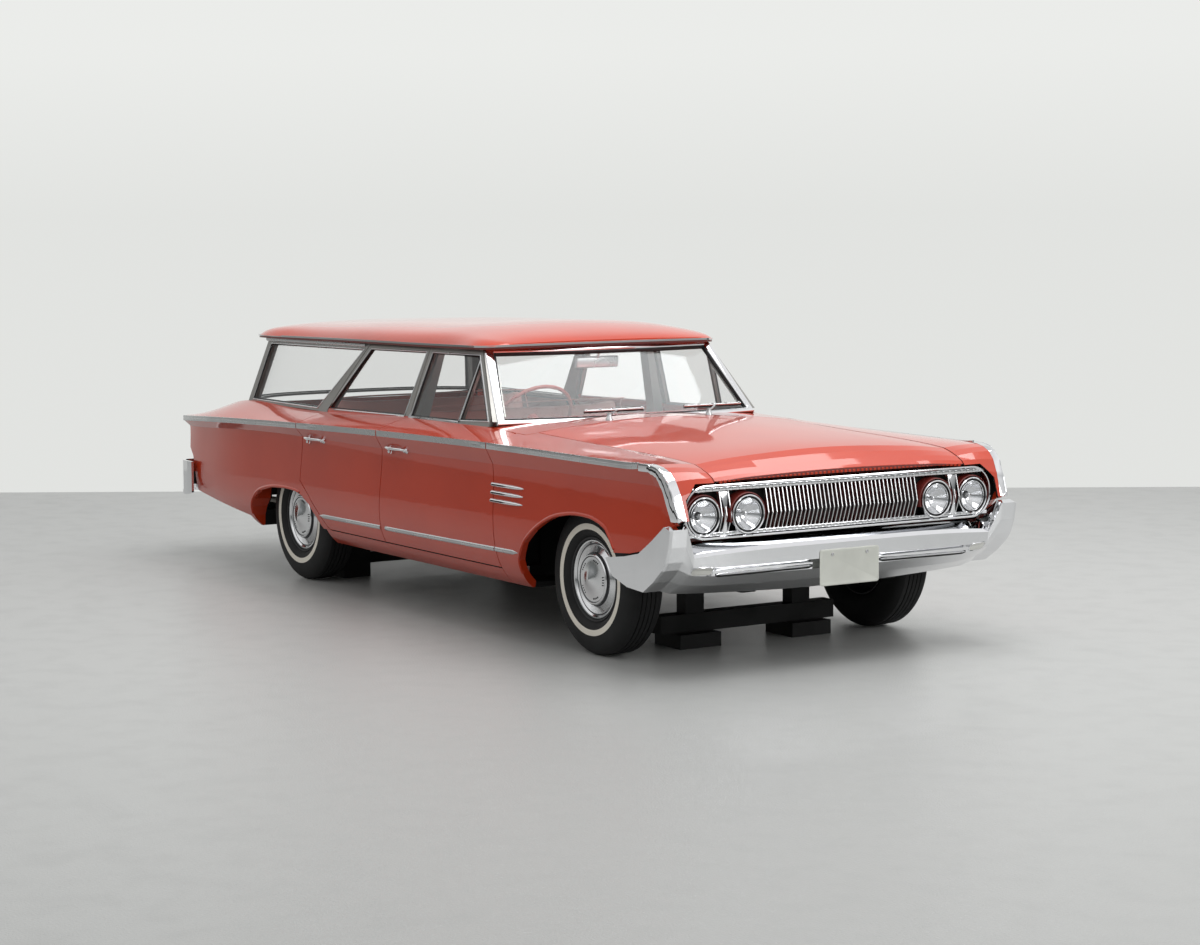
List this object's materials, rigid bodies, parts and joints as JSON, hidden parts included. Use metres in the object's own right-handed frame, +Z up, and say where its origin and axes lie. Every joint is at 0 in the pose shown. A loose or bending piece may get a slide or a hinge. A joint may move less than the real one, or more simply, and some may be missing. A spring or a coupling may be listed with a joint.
{
  "type": "four-door station wagon",
  "caption": "Low 1960s four-door station wagon on two support stands, with opening doors, hood and drop tailgate, and rolling, steering wheels.",
  "frame": {"origin": "on the floor under the middle of the car's overall length and width", "axes": "+X to the front, +Y to the car's left, +Z up"},
  "size_m": [4.872, 1.8152, 1.3386],
  "materials": {
    "body_paint": "gloss",
    "window_glass": "clear",
    "tyre_rubber": "matt",
    "wheel_steel": "satin",
    "bright_trim": "polished",
    "grille_metal": "satin",
    "lamp_glass": "clear",
    "red_lens": "gloss",
    "black_steel": "satin",
    "pipe_steel": "dull",
    "engine_iron": "matt",
    "interior_plastic": "satin",
    "seat_vinyl": "satin",
    "stand_paint": "matt"
  },
  "bodies": {
    "body": {"fender_left": "body_paint", "fender_right": "body_paint", "cowl": "body_paint", "quarter_left": "body_paint", "quarter_right": "body_paint", "roof": "body_paint", "pillars": "body_paint", "nose_panel": "body_paint", "underbody": "body_paint", "centre_posts": "body_paint", "cargo_floor": "black_steel", "front_frame": "black_steel", "windscreen": "window_glass", "tailgate_glass": "window_glass", "quarter_glass": "window_glass", "front_bumper": "bright_trim", "rear_bumper": "bright_trim", "wipers": "bright_trim", "grille": "grille_metal", "headlamps": "lamp_glass", "tail_lamps": "red_lens", "rear_axle": "black_steel", "front_suspension": "black_steel", "radiator": "black_steel", "fuel_tank": "black_steel", "exhaust": "pipe_steel", "engine": "engine_iron", "dash": "interior_plastic", "front_seat": "seat_vinyl", "rear_seat": "seat_vinyl", "stands": "stand_paint"},
    "wheel_front_left": {"tyre_front_left": "tyre_rubber", "wheel_front_left": "wheel_steel", "cover_front_left": "bright_trim"},
    "door_front_left": {"door_front_left": "body_paint", "glass_front_left": "window_glass"},
    "wheel_front_right": {"tyre_front_right": "tyre_rubber", "wheel_front_right": "wheel_steel", "cover_front_right": "bright_trim"},
    "door_front_right": {"door_front_right": "body_paint", "glass_front_right": "window_glass"},
    "wheel_rear_left": {"tyre_rear_left": "tyre_rubber", "wheel_rear_left": "wheel_steel", "cover_rear_left": "bright_trim"},
    "door_rear_left": {"door_rear_left": "body_paint", "glass_rear_left": "window_glass"},
    "wheel_rear_right": {"tyre_rear_right": "tyre_rubber", "wheel_rear_right": "wheel_steel", "cover_rear_right": "bright_trim"},
    "door_rear_right": {"door_rear_right": "body_paint", "glass_rear_right": "window_glass"},
    "knuckle_left": {"knuckle_left": "black_steel"},
    "knuckle_right": {"knuckle_right": "black_steel"},
    "hood": {"hood": "body_paint"},
    "tailgate": {"tailgate": "body_paint"},
    "steering_wheel": {"steering_wheel": "interior_plastic"}
  },
  "joints": [
    {"name": "steer_left", "type": "hinge", "parent": "body", "child": "knuckle_left", "pos_m": [1.679, 0.575, 0.322], "axis": [0, 0, 1], "range_deg": [-33, 33]},
    {"name": "spin_front_left", "type": "hinge", "parent": "knuckle_left", "child": "wheel_front_left", "pos_m": [1.679, 0.703, 0.322], "axis": [0, 1, 0], "continuous": true},
    {"name": "spin_rear_left", "type": "hinge", "parent": "body", "child": "wheel_rear_left", "pos_m": [-1.102, 0.703, 0.322], "axis": [0, 1, 0], "continuous": true},
    {"name": "door_front_left_hinge", "type": "hinge", "parent": "body", "child": "door_front_left", "pos_m": [1.068, 0.906, 0.55], "axis": [0, 0, -1], "range_deg": [0, 65]},
    {"name": "door_rear_left_hinge", "type": "hinge", "parent": "body", "child": "door_rear_left", "pos_m": [-0.022, 0.906, 0.55], "axis": [0, 0, -1], "range_deg": [0, 65]},
    {"name": "steer_right", "type": "hinge", "parent": "body", "child": "knuckle_right", "pos_m": [1.679, -0.575, 0.322], "axis": [0, 0, 1], "range_deg": [-33, 33]},
    {"name": "spin_front_right", "type": "hinge", "parent": "knuckle_right", "child": "wheel_front_right", "pos_m": [1.679, -0.703, 0.322], "axis": [0, 1, 0], "continuous": true},
    {"name": "spin_rear_right", "type": "hinge", "parent": "body", "child": "wheel_rear_right", "pos_m": [-1.102, -0.703, 0.322], "axis": [0, 1, 0], "continuous": true},
    {"name": "door_front_right_hinge", "type": "hinge", "parent": "body", "child": "door_front_right", "pos_m": [1.068, -0.906, 0.55], "axis": [0, 0, 1], "range_deg": [0, 65]},
    {"name": "door_rear_right_hinge", "type": "hinge", "parent": "body", "child": "door_rear_right", "pos_m": [-0.022, -0.906, 0.55], "axis": [0, 0, 1], "range_deg": [0, 65]},
    {"name": "hood_hinge", "type": "hinge", "parent": "body", "child": "hood", "pos_m": [1.067, 0, 0.936], "axis": [0, -1, 0], "range_deg": [0, 50]},
    {"name": "tailgate_hinge", "type": "hinge", "parent": "body", "child": "tailgate", "pos_m": [-2.33, 0, 0.55], "axis": [0, -1, 0], "range_deg": [0, 90]},
    {"name": "steering_column", "type": "hinge", "parent": "body", "child": "steering_wheel", "pos_m": [0.49, -0.36, 0.9], "axis": [0.7912, 0, -0.6115], "range_deg": [-660, 660]}
  ],
  "couplings": [
    {"joint": "steer_right", "follows": "steer_left", "ratio": 1},
    {"joint": "steering_column", "follows": "steer_left", "ratio": -20}
  ]
}
